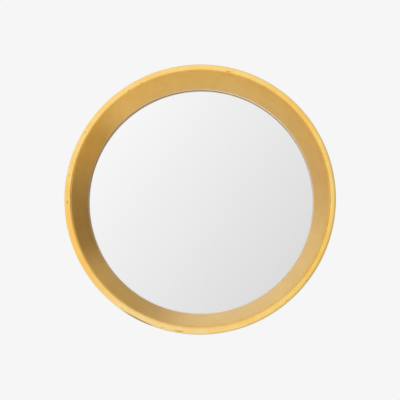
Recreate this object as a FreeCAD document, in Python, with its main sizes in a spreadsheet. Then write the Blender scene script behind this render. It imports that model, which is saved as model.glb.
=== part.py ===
"""Round wall mirror with a deep, gilded, turned frame.

Every piece is drawn in the mirror's own drawing frame: x to the right, y up and z towards the
viewer, with the wall at z = 0 and the axis of the ring along z. The placement of each piece then
stands the mirror up, so that in the finished model +Z is up and the mirror faces -Y.
"""
import FreeCAD, Part
import math
import os
import Sketcher

SEGMENT_COUNT = 8
FINGER_COUNT = 5
BUTTON_COUNT = 6
PAD_COUNT = 4
FULL_TURN = 360.0
FULL_CIRCLE = 2 * math.pi
QUARTER_TURN = 90.0
HANGER_ANGLE = 90.0
PAD_START_ANGLE = 45.0
# Edges are found by their place, to within this distance
SAME_PLACE = 0.001

SIZES = {
    # The frame ring
    "outer_diameter": 500,
    "rim_width": 11.5,
    "rim_fall": 12,
    "rim_curve": 35,
    "wall_run": 27,
    "wall_depth": 58,
    "lip_edge": 6,
    "lip_cover": 8,
    "back_width": 16.5,
    "arris_round": 0.8,
    "shoulder_round": 4,
    "heel_round": 2,
    # The finger joints between its segments
    "finger_length": 12,
    "glue_gap": 0.1,
    # The mirror and what lies behind it
    "glass_thickness": 4,
    "glass_gap": 1,
    "glass_arris": 0.6,
    "coating_thickness": 0.3,
    "sheet_thickness": 1,
    "sheet_gap": 1.5,
    "board_thickness": 3.2,
    "board_gap": 0.8,
    "board_arris": 0.6,
    # The turn buttons and their screws
    "button_thickness": 1.2,
    "button_eye_diameter": 11,
    "button_nose_diameter": 8,
    "button_reach": 15,
    "button_tab_length": 7,
    "button_tab_width": 5,
    "button_tab_angle": 20,
    "button_clearance": 0.05,
    "button_shank_diameter": 3.5,
    "button_shank_length": 18,
    "button_head_diameter": 7,
    "button_head_height": 2.3,
    # The hanger and its screws
    "strap_thickness": 1,
    "strap_width": 14,
    "strap_height": 9.5,
    "strap_margin": 1,
    "strap_corner": 2,
    "roll_angle": 280,
    "wire_diameter": 2.5,
    "wire_clearance": 0.08,
    "ring_bend": 2.5,
    "ring_leg": 5,
    "ring_play": 0.2,
    "hanger_shank_diameter": 2.8,
    "hanger_shank_length": 14,
    "hanger_head_diameter": 5,
    "hanger_head_height": 1.7,
    "hanger_screw_spacing": 7.6,
    "hanger_screw_drop": 5.4,
    # What all the screws share
    "screw_point": 4,
    "screw_clearance": 0.05,
    "head_edge": 0.6,
    "head_bevel": 1.2,
    "slot_width": 0.9,
    "slot_depth": 0.9,
    # The wall pads
    "pad_diameter": 12,
    "pad_thickness": 5,
    "pad_edge": 0.8,
    # How far a cutter runs past what it cuts
    "overrun": 2,
}

DERIVED = {
    # Radii
    "outer_radius": "sizes.outer_diameter / 2",
    "ridge_radius": "outer_radius - sizes.rim_width",
    "sight_radius": "ridge_radius - sizes.wall_run",
    "rebate_radius": "sight_radius + sizes.lip_cover",
    "back_radius": "rebate_radius + sizes.back_width",
    "glass_radius": "rebate_radius - sizes.glass_gap",
    "coating_radius": "glass_radius - sizes.glass_arris",
    "sheet_radius": "rebate_radius - sizes.sheet_gap",
    "board_radius": "rebate_radius - sizes.board_gap",
    "back_middle": "(rebate_radius + back_radius - sizes.heel_round) / 2",
    # Heights above the wall
    "back_face": "sizes.pad_thickness",
    "board_top": "back_face + sizes.board_thickness",
    "sheet_top": "board_top + sizes.sheet_thickness",
    "coating_top": "sheet_top + sizes.coating_thickness",
    "lip_back": "coating_top + sizes.glass_thickness",
    "lip_front": "lip_back + sizes.lip_edge",
    "ridge_height": "lip_front + sizes.wall_depth",
    "shoulder_height": "ridge_height - sizes.rim_fall",
    "shoulder_middle": "outer_radius - sizes.shoulder_round",
    # The finger joints, as angles round the axis
    "finger_angle": "sizes.finger_length / back_middle * 180 / pi",
    "glue_angle": "sizes.glue_gap / back_middle * 180 / pi",
    "finger_height": f"(ridge_height - back_face) / {FINGER_COUNT}",
    # The buttons and their screws
    "button_level": "back_face - sizes.button_clearance",
    "button_seat": "button_level - sizes.button_thickness - sizes.button_clearance",
    # The hanger: the height of its hinge line, and the line's distance behind the frame
    "hanger_level": "rebate_radius + sizes.strap_margin + sizes.strap_height",
    "knuckle_bore": "sizes.wire_diameter / 2 + sizes.wire_clearance",
    "knuckle_outer": "knuckle_bore + sizes.strap_thickness",
    "ring_bar_half": "sizes.strap_width / 2 + sizes.ring_play",
    "ring_loop_radius": "ring_bar_half + sizes.ring_bend",
    "hanger_screw_level": "hanger_level - sizes.hanger_screw_drop",
}

doc = FreeCAD.newDocument("round_mirror")


def fill_sheet(name, cells, prefix):
    """Makes a spreadsheet with one named cell per row."""
    sheet = doc.addObject("Spreadsheet::Sheet", name)
    for row, (alias, content) in enumerate(cells.items(), start=1):
        sheet.set(f"A{row}", alias)
        sheet.set(f"B{row}", f"{prefix}{content}")
        sheet.setAlias(f"B{row}", alias)
    doc.recompute()
    return sheet


sizes = fill_sheet("sizes", SIZES, "")
derived = fill_sheet("derived", DERIVED, "=")


def number(formula):
    """The present value of an expression over the two sheets."""
    return float(sizes.evalExpression(formula))


def new_body(name):
    body = doc.addObject("PartDesign::Body", name)
    body.Label = name
    return body


def origin_feature(body, role):
    return next(item for item in body.Origin.OriginFeatures if item.Role == role)


def new_sketch(body, role, name, height=None, turn=None):
    """A sketch on one of the body's own planes, lifted or turned about its own upright axis."""
    sketch = body.newObject("Sketcher::SketchObject", name)
    sketch.AttachmentSupport = [(origin_feature(body, role), "")]
    sketch.MapMode = "FlatFace"
    if height is not None:
        sketch.setExpression("AttachmentOffset.Base.z", height)
    if turn is not None:
        upright = FreeCAD.Vector(0, 1, 0)
        sketch.AttachmentOffset = FreeCAD.Placement(FreeCAD.Vector(), FreeCAD.Rotation(upright, turn))
    doc.recompute()
    return sketch


def bind(sketch, formula, kind, *places):
    """Adds a dimension whose value is an expression over the sheets."""
    index = sketch.addConstraint(Sketcher.Constraint(kind, *places, number(formula)))
    sketch.setExpression(f"Constraints[{index}]", formula)


def pin(sketch, line, end, x_formula, y_formula):
    """Ties a point of a sketch to its two distances from the sketch's origin."""
    for kind, axis, formula in (("DistanceX", -2, x_formula), ("DistanceY", -1, y_formula)):
        if formula == "0":
            sketch.addConstraint(Sketcher.Constraint("PointOnObject", line, end, axis))
        else:
            bind(sketch, formula, kind, -1, 1, line, end)


def point(x_formula, y_formula):
    return FreeCAD.Vector(number(x_formula), number(y_formula), 0)


def join_ends(sketch, first, first_end, second, second_end):
    sketch.addConstraint(Sketcher.Constraint("Coincident", first, first_end, second, second_end))


def draw_outline(sketch, corners):
    """Draws a closed outline of straight lines through corners that are tied to the sheets."""
    lines = []
    for start, end in zip(corners, corners[1:] + corners[:1]):
        lines.append(sketch.addGeometry(Part.LineSegment(point(*start), point(*end)), False))
    for line, following, corner in zip(lines, lines[1:] + lines[:1], corners):
        join_ends(sketch, line, 2, following, 1)
        pin(sketch, line, 1, *corner)
    return lines


def draw_circle(sketch, x_formula, y_formula, radius_formula):
    centre = point(x_formula, y_formula)
    axis = FreeCAD.Vector(0, 0, 1)
    circle = sketch.addGeometry(Part.Circle(centre, axis, number(radius_formula)), False)
    pin(sketch, circle, 3, x_formula, y_formula)
    bind(sketch, radius_formula, "Radius", circle)
    return circle


def pad(body, sketch, length, name, reverse=False, midplane=False):
    feature = body.newObject("PartDesign::Pad", name)
    feature.Profile = sketch
    feature.setExpression("Length", length)
    feature.Reversed = reverse
    if midplane:
        feature.SideType = "Symmetric"
    doc.recompute()
    return feature


def cut(body, kind, sketch, name, settings, formulas):
    """Adds a feature that removes material, and makes sure that it removed some."""
    before = body.Shape.Volume
    feature = body.newObject(kind, name)
    feature.Profile = sketch
    for setting, value in settings.items():
        setattr(feature, setting, value)
    for setting, formula in formulas.items():
        feature.setExpression(setting, formula)
    doc.recompute()
    if body.Shape.Volume >= before:
        raise RuntimeError(f"{name} cuts nothing")
    return feature


def pocket_towards_viewer(body, sketch, depth, name):
    return cut(body, "PartDesign::Pocket", sketch, name, {"Reversed": True}, {"Length": depth})


def turn_solid(body, sketch, axis, angle, name, midplane=True, reverse=False):
    feature = body.newObject("PartDesign::Revolution", name)
    feature.Profile = sketch
    feature.ReferenceAxis = (sketch, [axis])
    feature.setExpression("Angle", angle)
    feature.Midplane = midplane
    feature.Reversed = reverse
    doc.recompute()
    return feature


def round_edges_at(feature, radius, height):
    """Names of the circular edges round the axis at one radius and height."""
    names = []
    for index, edge in enumerate(feature.Shape.Edges, start=1):
        curve = edge.Curve
        if not isinstance(curve, Part.Circle):
            continue
        if abs(curve.Radius - radius) < SAME_PLACE and abs(curve.Center.z - height) < SAME_PLACE:
            names.append(f"Edge{index}")
    return names


def dress(body, kind, setting, base, edges, formula, name):
    """Adds a fillet or a chamfer of one size to the named edges of a feature."""
    feature = body.newObject(kind, name)
    feature.Base = (base, edges)
    feature.setExpression(setting, formula)
    doc.recompute()
    return feature


def stand(body, angle, x_formula="0", y_formula="0", z_formula="0"):
    """Stands a piece up: turned about the ring's axis, then moved to its place in the drawing frame."""
    upright = FreeCAD.Rotation(FreeCAD.Vector(1, 0, 0), QUARTER_TURN)
    turned = FreeCAD.Rotation(FreeCAD.Vector(0, 0, 1), angle)
    body.Placement = FreeCAD.Placement(FreeCAD.Vector(), upright.multiply(turned))
    across = f"({x_formula}) * cos({angle}) - ({y_formula}) * sin({angle})"
    above = f"({x_formula}) * sin({angle}) + ({y_formula}) * cos({angle})"
    body.setExpression("Placement.Base.x", across)
    body.setExpression("Placement.Base.y", f"-({z_formula})")
    body.setExpression("Placement.Base.z", above)


def screw_places():
    """Every screw hole in the back of the ring: its angle, radius, sideways place and two sizes."""
    places = []
    for index in range(BUTTON_COUNT):
        angle = index * FULL_TURN / BUTTON_COUNT
        depth = "derived.button_seat + sizes.button_shank_length - derived.back_face"
        places.append((angle, "derived.back_middle", "0", "button", depth))
    for side in (-1, 1):
        sideways = f"{side} * sizes.hanger_screw_spacing / 2"
        depth = "sizes.hanger_shank_length - sizes.strap_thickness"
        places.append((HANGER_ANGLE, "derived.hanger_screw_level", sideways, "hanger", depth))
    return places


def heading(angle):
    return FreeCAD.Vector(math.cos(angle), math.sin(angle), 0)


def touch_point(outside, centre, radius):
    """Where a line from an outside point touches a circle, on the right of that line's way."""
    away = outside - centre
    return centre + heading(math.atan2(away.y, away.x) + math.acos(radius / away.Length)) * radius


def holding_centre(centre, held_radius, through, radius):
    """The centre of a circle that holds a smaller one, touching it, and goes through a point."""
    apart = through - centre
    reach = radius - held_radius
    turn = math.acos((reach ** 2 + apart.Length ** 2 - radius ** 2) / (2 * reach * apart.Length))
    return centre + heading(math.atan2(apart.y, apart.x) + turn) * reach


def rounding_centre(corner, along, inwards, rounding, centre, radius):
    """The centre of a rounding that touches a straight side and, from inside, a circle."""
    start = corner + inwards * rounding - centre
    lead = start.dot(along)
    step = -lead + math.sqrt(lead ** 2 - start.dot(start) + (radius - rounding) ** 2)
    return centre + start + along * step


def draw_arc(sketch, centre, start, end):
    """Draws an arc anticlockwise round a centre, from one of its points to the direction of another."""
    circle = Part.Circle(centre, FreeCAD.Vector(0, 0, 1), centre.distanceToPoint(start))
    first = circle.parameter(start)
    sweep = (circle.parameter(end) - first) % FULL_CIRCLE
    return sketch.addGeometry(Part.ArcOfCircle(circle, first, first + sweep), False)


def ring_profile(body, name):
    """The section of the ring: lip, cone wall, arris, rim, shoulder, tapering outside, back and rebate."""
    sketch = new_sketch(body, "XZ_Plane", name)
    rounding = number("sizes.arris_round")
    lip = ("derived.sight_radius", "derived.lip_front")
    heel = ("derived.back_radius", "derived.back_face")
    widest = ("derived.outer_radius", "derived.shoulder_height")
    middle = ("derived.shoulder_middle", "derived.shoulder_height")
    ridge = ("derived.ridge_radius", "derived.ridge_height")
    # Where the arcs and their ends lie to begin with
    down_wall = (point(*lip) - point(*ridge)).normalize()
    inwards = FreeCAD.Vector(-down_wall.y, down_wall.x, 0)
    curve = number("sizes.rim_curve")
    shoulder_centre = point(*middle)
    rim_centre = holding_centre(shoulder_centre, number("sizes.shoulder_round"), point(*ridge), curve)
    arris_centre = rounding_centre(point(*ridge), -down_wall, inwards, rounding, rim_centre, curve)
    flank_end = touch_point(point(*heel), shoulder_centre, number("sizes.shoulder_round"))
    rim_start = rim_centre + (shoulder_centre - rim_centre).normalize() * curve
    rim_end = rim_centre + (arris_centre - rim_centre).normalize() * curve
    wall_end = arris_centre - inwards * rounding
    # The straight sides, from the shoulder round the back to the ridge
    straight = [
        heel,
        ("derived.rebate_radius", "derived.back_face"),
        ("derived.rebate_radius", "derived.lip_back"),
        ("derived.sight_radius", "derived.lip_back"),
        lip,
    ]
    corners = [flank_end] + [point(*corner) for corner in straight] + [wall_end]
    lines = []
    for start, end in zip(corners, corners[1:]):
        lines.append(sketch.addGeometry(Part.LineSegment(start, end), False))
    for line, following, corner in zip(lines, lines[1:], straight):
        join_ends(sketch, line, 2, following, 1)
        pin(sketch, line, 2, *corner)
    # The shoulder is drawn as two arcs, which meet where the ring is widest
    flank = draw_arc(sketch, shoulder_centre, flank_end, point(*widest))
    shoulder = draw_arc(sketch, shoulder_centre, point(*widest), rim_start)
    rim = draw_arc(sketch, rim_centre, rim_start, rim_end)
    arris = draw_arc(sketch, arris_centre, rim_end, wall_end)
    pin(sketch, shoulder, 3, *middle)
    pin(sketch, shoulder, 1, *widest)
    join_ends(sketch, flank, 3, shoulder, 3)
    join_ends(sketch, flank, 2, shoulder, 1)
    bind(sketch, "sizes.rim_curve", "Radius", rim)
    bind(sketch, "sizes.arris_round", "Radius", arris)
    # The wall and the rim would meet in the ridge if the arris were sharp
    ridge_mark = sketch.addGeometry(Part.Point(point(*ridge)), True)
    pin(sketch, ridge_mark, 1, *ridge)
    for side in (lines[-1], rim):
        sketch.addConstraint(Sketcher.Constraint("PointOnObject", ridge_mark, 1, side))
    for first, first_end, second, second_end in (
        (lines[0], 1, flank, 1),
        (shoulder, 2, rim, 1),
        (rim, 2, arris, 1),
        (arris, 2, lines[-1], 2),
    ):
        sketch.addConstraint(Sketcher.Constraint("Tangent", first, first_end, second, second_end))
    doc.recompute()
    return sketch


def finger_cut(body, name, side, first_layer):
    """Cuts every second layer back at one end of a segment, for the fingers of its neighbour."""
    sketch = new_sketch(body, "XZ_Plane", f"{name}_sketch", turn=side * FULL_TURN / SEGMENT_COUNT / 2)
    inner = "derived.sight_radius - sizes.overrun"
    outer = "derived.outer_radius + sizes.overrun"
    for layer in range(first_layer, FINGER_COUNT, 2):
        below = "sizes.overrun" if layer == 0 else "sizes.glue_gap / 2"
        above = "sizes.overrun" if layer == FINGER_COUNT - 1 else "sizes.glue_gap / 2"
        low = f"derived.back_face + {layer} * derived.finger_height - {below}"
        high = f"derived.back_face + {layer + 1} * derived.finger_height + {above}"
        draw_outline(sketch, [(inner, low), (outer, low), (outer, high), (inner, high)])
    doc.recompute()
    settings = {"ReferenceAxis": (sketch, ["V_Axis"]), "Midplane": True}
    formulas = {"Angle": "derived.finger_angle + derived.glue_angle"}
    return cut(body, "PartDesign::Groove", sketch, name, settings, formulas)


def make_ring_segment(index):
    """One of the glued segments of the ring, with its finger joints and its screw holes."""
    name = f"ring_segment_{index + 1}"
    step = FULL_TURN / SEGMENT_COUNT
    body = new_body(name)
    profile = ring_profile(body, f"{name}_profile")
    span = f"{step} + derived.finger_angle - derived.glue_angle"
    turned = turn_solid(body, profile, "V_Axis", span, f"{name}_turned")
    heel = round_edges_at(turned, number("derived.back_radius"), number("derived.back_face"))
    dress(body, "PartDesign::Fillet", "Radius", turned, heel, "sizes.heel_round", f"{name}_heel")
    finger_cut(body, f"{name}_left_fingers", 1, 1)
    finger_cut(body, f"{name}_right_fingers", -1, 0)
    for hole, (angle, radius, sideways, kind, depth) in enumerate(screw_places()):
        if round(angle / step) % SEGMENT_COUNT != index:
            continue
        swing = angle - round(angle / step) * step
        sketch = new_sketch(body, "XY_Plane", f"{name}_hole_{hole}_sketch", height="derived.back_face")
        across = f"({radius}) * cos({swing}) - ({sideways}) * sin({swing})"
        above = f"({radius}) * sin({swing}) + ({sideways}) * cos({swing})"
        shank = f"sizes.{kind}_shank_diameter / 2 + sizes.screw_clearance"
        draw_circle(sketch, across, "0" if sideways == "0" and swing == 0 else above, shank)
        doc.recompute()
        pocket_towards_viewer(body, sketch, f"{depth} + sizes.screw_clearance", f"{name}_hole_{hole}")
    stand(body, index * step)
    return body


def make_disc(name, radius, height, thickness, arris=None):
    """A round sheet of the mirror's stack, with its two edges taken off where it has an arris."""
    body = new_body(name)
    sketch = new_sketch(body, "XY_Plane", f"{name}_sketch", height=height)
    draw_circle(sketch, "0", "0", radius)
    disc = pad(body, sketch, thickness, f"{name}_disc")
    if arris is not None:
        edges = round_edges_at(disc, number(radius), number(height))
        edges += round_edges_at(disc, number(radius), number(height) + number(thickness))
        dress(body, "PartDesign::Chamfer", "Size", disc, edges, arris, f"{name}_arris")
    stand(body, 0)
    return body


def draw_teardrop(sketch):
    """A turn button's outline: a large eye, a smaller nose and the two lines that touch both."""
    eye_radius = number("sizes.button_eye_diameter / 2")
    nose_radius = number("sizes.button_nose_diameter / 2")
    reach = number("sizes.button_reach")
    lean = math.asin((eye_radius - nose_radius) / reach)
    eye_turn = math.pi / 2 + lean
    middle = FreeCAD.Vector(0, 0, 0)
    far = FreeCAD.Vector(-reach, 0, 0)
    axis = FreeCAD.Vector(0, 0, 1)
    eye_circle = Part.Circle(middle, axis, eye_radius)
    nose_circle = Part.Circle(far, axis, nose_radius)
    eye = sketch.addGeometry(Part.ArcOfCircle(eye_circle, -eye_turn, eye_turn), False)
    nose = sketch.addGeometry(Part.ArcOfCircle(nose_circle, eye_turn, FULL_CIRCLE - eye_turn), False)
    upper_line = Part.LineSegment(eye_circle.value(eye_turn), nose_circle.value(eye_turn))
    lower_line = Part.LineSegment(nose_circle.value(-eye_turn), eye_circle.value(-eye_turn))
    upper = sketch.addGeometry(upper_line, False)
    lower = sketch.addGeometry(lower_line, False)
    for first, first_end, second, second_end in (
        (eye, 2, upper, 1),
        (upper, 2, nose, 1),
        (nose, 2, lower, 1),
        (lower, 2, eye, 1),
    ):
        sketch.addConstraint(Sketcher.Constraint("Tangent", first, first_end, second, second_end))
    join_ends(sketch, eye, 3, -1, 1)
    sketch.addConstraint(Sketcher.Constraint("PointOnObject", nose, 3, -1))
    bind(sketch, "sizes.button_reach", "DistanceX", nose, 3, -1, 1)
    bind(sketch, "sizes.button_eye_diameter / 2", "Radius", eye)
    bind(sketch, "sizes.button_nose_diameter / 2", "Radius", nose)


def make_turn_button(index):
    """A stamped button that turns on its screw and holds the board in, with a lifted finger tab."""
    name = f"turn_button_{index + 1}"
    body = new_body(name)
    outline = new_sketch(body, "XY_Plane", f"{name}_outline")
    draw_teardrop(outline)
    draw_circle(outline, "0", "0", "sizes.button_shank_diameter / 2 + sizes.button_clearance")
    doc.recompute()
    pad(body, outline, "sizes.button_thickness", f"{name}_plate", reverse=True)
    tab = new_sketch(body, "XZ_Plane", f"{name}_tab_sketch")
    root = "-sizes.button_reach"
    tip = f"{root} - sizes.button_tab_length * cos(sizes.button_tab_angle)"
    lift = "-sizes.button_tab_length * sin(sizes.button_tab_angle)"
    draw_outline(tab, [
        (root, "0"),
        (root, "-sizes.button_thickness"),
        (tip, f"-sizes.button_thickness + {lift}"),
        (tip, lift),
    ])
    doc.recompute()
    pad(body, tab, "sizes.button_tab_width", f"{name}_tab", midplane=True)
    angle = index * FULL_TURN / BUTTON_COUNT
    stand(body, angle, x_formula="derived.back_middle", z_formula="derived.button_level")
    return body


def make_screws(name, kind, middle, seat):
    """A pan-head wood screw with a slot, standing on its seat at one radius from the body's axis."""
    body = new_body(name)
    sketch = new_sketch(body, "XZ_Plane", f"{name}_profile")
    head = f"{middle} + sizes.{kind}_head_diameter / 2"
    shank = f"{middle} + sizes.{kind}_shank_diameter / 2"
    crown = f"{seat} - sizes.{kind}_head_height"
    end = f"{seat} + sizes.{kind}_shank_length"
    profile = draw_outline(sketch, [
        (middle, crown),
        (f"{head} - sizes.head_bevel", crown),
        (head, f"{seat} - sizes.head_edge"),
        (head, seat),
        (shank, seat),
        (shank, f"{end} - sizes.screw_point"),
        (middle, end),
    ])
    doc.recompute()
    turned = turn_solid(body, sketch, f"Edge{profile[-1] + 1}", f"{FULL_TURN}", f"{name}_turned")
    slot = new_sketch(body, "XY_Plane", f"{name}_slot_sketch", height=crown)
    left = f"{middle} - sizes.{kind}_head_diameter / 2 - sizes.overrun"
    right = f"{middle} + sizes.{kind}_head_diameter / 2 + sizes.overrun"
    draw_outline(slot, [
        (left, "-sizes.slot_width / 2"),
        (right, "-sizes.slot_width / 2"),
        (right, "sizes.slot_width / 2"),
        (left, "sizes.slot_width / 2"),
    ])
    doc.recompute()
    slotted = pocket_towards_viewer(body, slot, "sizes.slot_depth", f"{name}_slot")
    return body, [turned, slotted]


def repeat_round(body, features, count, name):
    pattern = body.newObject("PartDesign::PolarPattern", name)
    pattern.Originals = features
    pattern.Axis = (origin_feature(body, "Z_Axis"), [""])
    pattern.Angle = FULL_TURN
    pattern.Occurrences = count
    body.Tip = pattern
    doc.recompute()


def mirror_across(body, features, name):
    """Repeats features on the other side of the body's own middle plane."""
    pair = body.newObject("PartDesign::Mirrored", name)
    pair.Originals = features
    pair.MirrorPlane = (origin_feature(body, "YZ_Plane"), [""])
    body.Tip = pair
    doc.recompute()


def make_turn_button_screws():
    name = "turn_button_screws"
    body, features = make_screws(name, "button", "derived.back_middle", "derived.button_seat")
    repeat_round(body, features, BUTTON_COUNT, f"{name}_round")
    stand(body, 0)
    return body


def make_hanger_screws():
    name = "hanger_screws"
    seat = "-sizes.strap_thickness"
    body, features = make_screws(name, "hanger", "sizes.hanger_screw_spacing / 2", seat)
    mirror_across(body, features, f"{name}_pair")
    stand(body, 0, y_formula="derived.hanger_screw_level", z_formula="derived.back_face")
    return body


def make_hanger_plate():
    """A strap that is screwed to the back and rolled at its top into the knuckle of the ring."""
    name = "hanger_plate"
    body = new_body(name)
    side = new_sketch(body, "YZ_Plane", f"{name}_side")
    foot = "-sizes.strap_height"
    flat = "-sizes.strap_thickness"
    below = side.addGeometry(Part.LineSegment(point(foot, "0"), point("0", "0")), False)
    top = side.addGeometry(Part.LineSegment(point("0", flat), point(foot, flat)), False)
    foot_edge = side.addGeometry(Part.LineSegment(point(foot, flat), point(foot, "0")), False)
    centre = FreeCAD.Vector(0, -number("derived.knuckle_outer"), 0)
    axis = FreeCAD.Vector(0, 0, 1)
    quarter = math.pi / 2
    roll_end = quarter - math.radians(number("sizes.roll_angle"))
    outer_circle = Part.Circle(centre, axis, number("derived.knuckle_outer"))
    bore_circle = Part.Circle(centre, axis, number("derived.knuckle_bore"))
    outer = side.addGeometry(Part.ArcOfCircle(outer_circle, roll_end, quarter), False)
    bore = side.addGeometry(Part.ArcOfCircle(bore_circle, roll_end, quarter), False)
    roll_tip = Part.LineSegment(outer_circle.value(roll_end), bore_circle.value(roll_end))
    tip = side.addGeometry(roll_tip, False)
    pin(side, below, 1, foot, "0")
    join_ends(side, below, 2, -1, 1)
    pin(side, top, 1, "0", flat)
    pin(side, top, 2, foot, flat)
    join_ends(side, foot_edge, 1, top, 2)
    join_ends(side, foot_edge, 2, below, 1)
    join_ends(side, outer, 2, below, 2)
    side.addConstraint(Sketcher.Constraint("PointOnObject", outer, 3, -2))
    bind(side, "derived.knuckle_outer", "Radius", outer)
    join_ends(side, bore, 2, top, 1)
    join_ends(side, bore, 3, outer, 3)
    join_ends(side, tip, 1, outer, 1)
    join_ends(side, tip, 2, bore, 1)
    side.addConstraint(Sketcher.Constraint("PointOnObject", outer, 3, tip))
    bind(side, "-derived.knuckle_outer * sin(sizes.roll_angle)", "DistanceX", outer, 1, outer, 3)
    doc.recompute()
    strap = pad(body, side, "sizes.strap_width", f"{name}_strap", midplane=True)
    corners = []
    for index, edge in enumerate(strap.Shape.Edges, start=1):
        upright = abs(edge.BoundBox.ZLength - number("sizes.strap_thickness")) < SAME_PLACE
        at_foot = edge.BoundBox.YMax < number(foot) + SAME_PLACE
        if upright and at_foot:
            corners.append(f"Edge{index}")
    dress(body, "PartDesign::Fillet", "Radius", strap, corners, "sizes.strap_corner", f"{name}_corners")
    holes = new_sketch(body, "XY_Plane", f"{name}_holes_sketch", height=flat)
    for sign in ("-", ""):
        middle = f"{sign}sizes.hanger_screw_spacing / 2"
        hole = "sizes.hanger_shank_diameter / 2 + sizes.screw_clearance"
        draw_circle(holes, middle, "-sizes.hanger_screw_drop", hole)
    doc.recompute()
    pocket_towards_viewer(body, holes, "sizes.strap_thickness", f"{name}_holes")
    stand(body, 0, y_formula="derived.hanger_level", z_formula="derived.back_face")
    return body


def make_hanger_ring():
    """A bent-wire ring: a straight bar in the knuckle, two bends, two legs and a half-round end."""
    name = "hanger_ring"
    body = new_body(name)
    wire = "sizes.wire_diameter / 2"
    drop = "sizes.ring_bend + sizes.ring_leg"
    middle = new_sketch(body, "YZ_Plane", f"{name}_bar_sketch")
    draw_circle(middle, "0", "0", wire)
    pad(body, middle, "2 * derived.ring_bar_half", f"{name}_bar", midplane=True)
    corner = new_sketch(body, "YZ_Plane", f"{name}_bend_sketch", height="derived.ring_bar_half")
    draw_circle(corner, "0", "0", wire)
    bend_axis = [("-sizes.ring_bend", "0"), ("-sizes.ring_bend", "-sizes.wire_diameter")]
    bend_line = corner.addGeometry(Part.LineSegment(*[point(*end) for end in bend_axis]), True)
    for place, end in enumerate(bend_axis, start=1):
        pin(corner, bend_line, place, *end)
    bend = turn_solid(body, corner, "Axis0", f"{QUARTER_TURN}", f"{name}_bend", midplane=False)
    side = new_sketch(body, "XZ_Plane", f"{name}_leg_sketch", height="sizes.ring_bend")
    draw_circle(side, "derived.ring_loop_radius", "0", wire)
    leg = pad(body, side, "sizes.ring_leg", f"{name}_leg")
    mirror_across(body, [bend, leg], f"{name}_other_side")
    foot = new_sketch(body, "XZ_Plane", f"{name}_end_sketch", height=drop)
    draw_circle(foot, "derived.ring_loop_radius", "0", wire)
    turn_solid(body, foot, "V_Axis", f"{FULL_TURN / 2}", f"{name}_end", midplane=False, reverse=True)
    hinge = "derived.back_face - derived.knuckle_outer"
    stand(body, 0, y_formula="derived.hanger_level", z_formula=hinge)
    return body


def make_wall_pads():
    """Felt pads under the frame, which keep it and its hardware off the wall."""
    name = "wall_pads"
    body = new_body(name)
    sketch = new_sketch(body, "XY_Plane", f"{name}_sketch")
    draw_circle(sketch, "derived.back_middle", "0", "sizes.pad_diameter / 2")
    doc.recompute()
    disc = pad(body, sketch, "sizes.pad_thickness", f"{name}_disc")
    edges = round_edges_at(disc, number("sizes.pad_diameter / 2"), 0)
    edge = dress(body, "PartDesign::Chamfer", "Size", disc, edges, "sizes.pad_edge", f"{name}_edge")
    repeat_round(body, [disc, edge], PAD_COUNT, f"{name}_round")
    stand(body, PAD_START_ANGLE)
    return body


pieces = [make_ring_segment(index) for index in range(SEGMENT_COUNT)]
# Each disc: its name, the height of its back, the word its sizes start with, and whether it has an arris
glass_stack = [
    ("mirror_glass", "derived.coating_top", "glass", True),
    ("silver_coating", "derived.sheet_top", "coating", False),
    ("packing_sheet", "derived.board_top", "sheet", False),
    ("backing_board", "derived.back_face", "board", True),
]
for name, back, words, has_arris in glass_stack:
    arris = f"sizes.{words}_arris" if has_arris else None
    pieces.append(make_disc(name, f"derived.{words}_radius", back, f"sizes.{words}_thickness", arris))
pieces += [make_turn_button(index) for index in range(BUTTON_COUNT)]
pieces.append(make_turn_button_screws())
pieces.append(make_hanger_plate())
pieces.append(make_hanger_ring())
pieces.append(make_hanger_screws())
pieces.append(make_wall_pads())

doc.recompute()
for item in doc.Objects:
    if "Invalid" in item.State or "Error" in item.State:
        raise RuntimeError(f"{item.Label} failed: {item.State}")
for piece in pieces:
    if piece.Shape.isNull() or not piece.Shape.isValid():
        raise RuntimeError(f"{piece.Label} has no valid shape")

os.makedirs("parts", exist_ok=True)
for piece in pieces:
    piece.Shape.exportStep(f"parts/{piece.Label}.step")
    print(piece.Label, len(piece.Shape.Solids), "solids", round(piece.Shape.Volume, 1), "mm3")
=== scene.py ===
# %% [markdown]
# # A round wall mirror in a deep gilded frame
#
# The solid model is already there: eight glued wooden segments that make a ring, the pane with its
# silvering, the backing board and the fittings on the back. This lesson dresses it. The wood gets its
# coat of gesso and gold leaf, the pane its depth, and every other piece its finish.
# The frame is loaded first, because every piece here is placed from it.

# %% Load the frame
import math

import bmesh
import bpy
from mathutils import Matrix, Vector, geometry, kdtree, noise


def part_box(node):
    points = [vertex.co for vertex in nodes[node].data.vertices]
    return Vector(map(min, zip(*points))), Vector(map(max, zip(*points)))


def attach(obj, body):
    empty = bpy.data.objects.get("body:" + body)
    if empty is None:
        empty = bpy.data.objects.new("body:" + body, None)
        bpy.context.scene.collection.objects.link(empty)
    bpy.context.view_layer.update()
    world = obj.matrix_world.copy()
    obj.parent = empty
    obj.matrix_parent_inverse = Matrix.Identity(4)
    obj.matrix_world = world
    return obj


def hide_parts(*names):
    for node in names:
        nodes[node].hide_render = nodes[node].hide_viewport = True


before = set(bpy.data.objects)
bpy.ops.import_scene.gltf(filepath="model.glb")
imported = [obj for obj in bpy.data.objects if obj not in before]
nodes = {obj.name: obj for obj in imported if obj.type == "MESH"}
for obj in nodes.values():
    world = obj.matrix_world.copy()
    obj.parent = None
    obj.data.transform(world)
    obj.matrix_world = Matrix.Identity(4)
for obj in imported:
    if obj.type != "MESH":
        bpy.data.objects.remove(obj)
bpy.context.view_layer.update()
MM = 0.001
print("CAD nodes:", len(nodes))

# %% [markdown]
# ## Measuring the turned ring
#
# The ring is turned, so its whole form is one section: a radius for each depth. That section can be
# typed in again, or read from the solids. Its main sizes are read here, so that the coat always fits the
# wood, and only the curves are typed in further on. The ring's axis is the Y axis, the wall is at y = 0
# and the viewer is on the -Y side.

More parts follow.
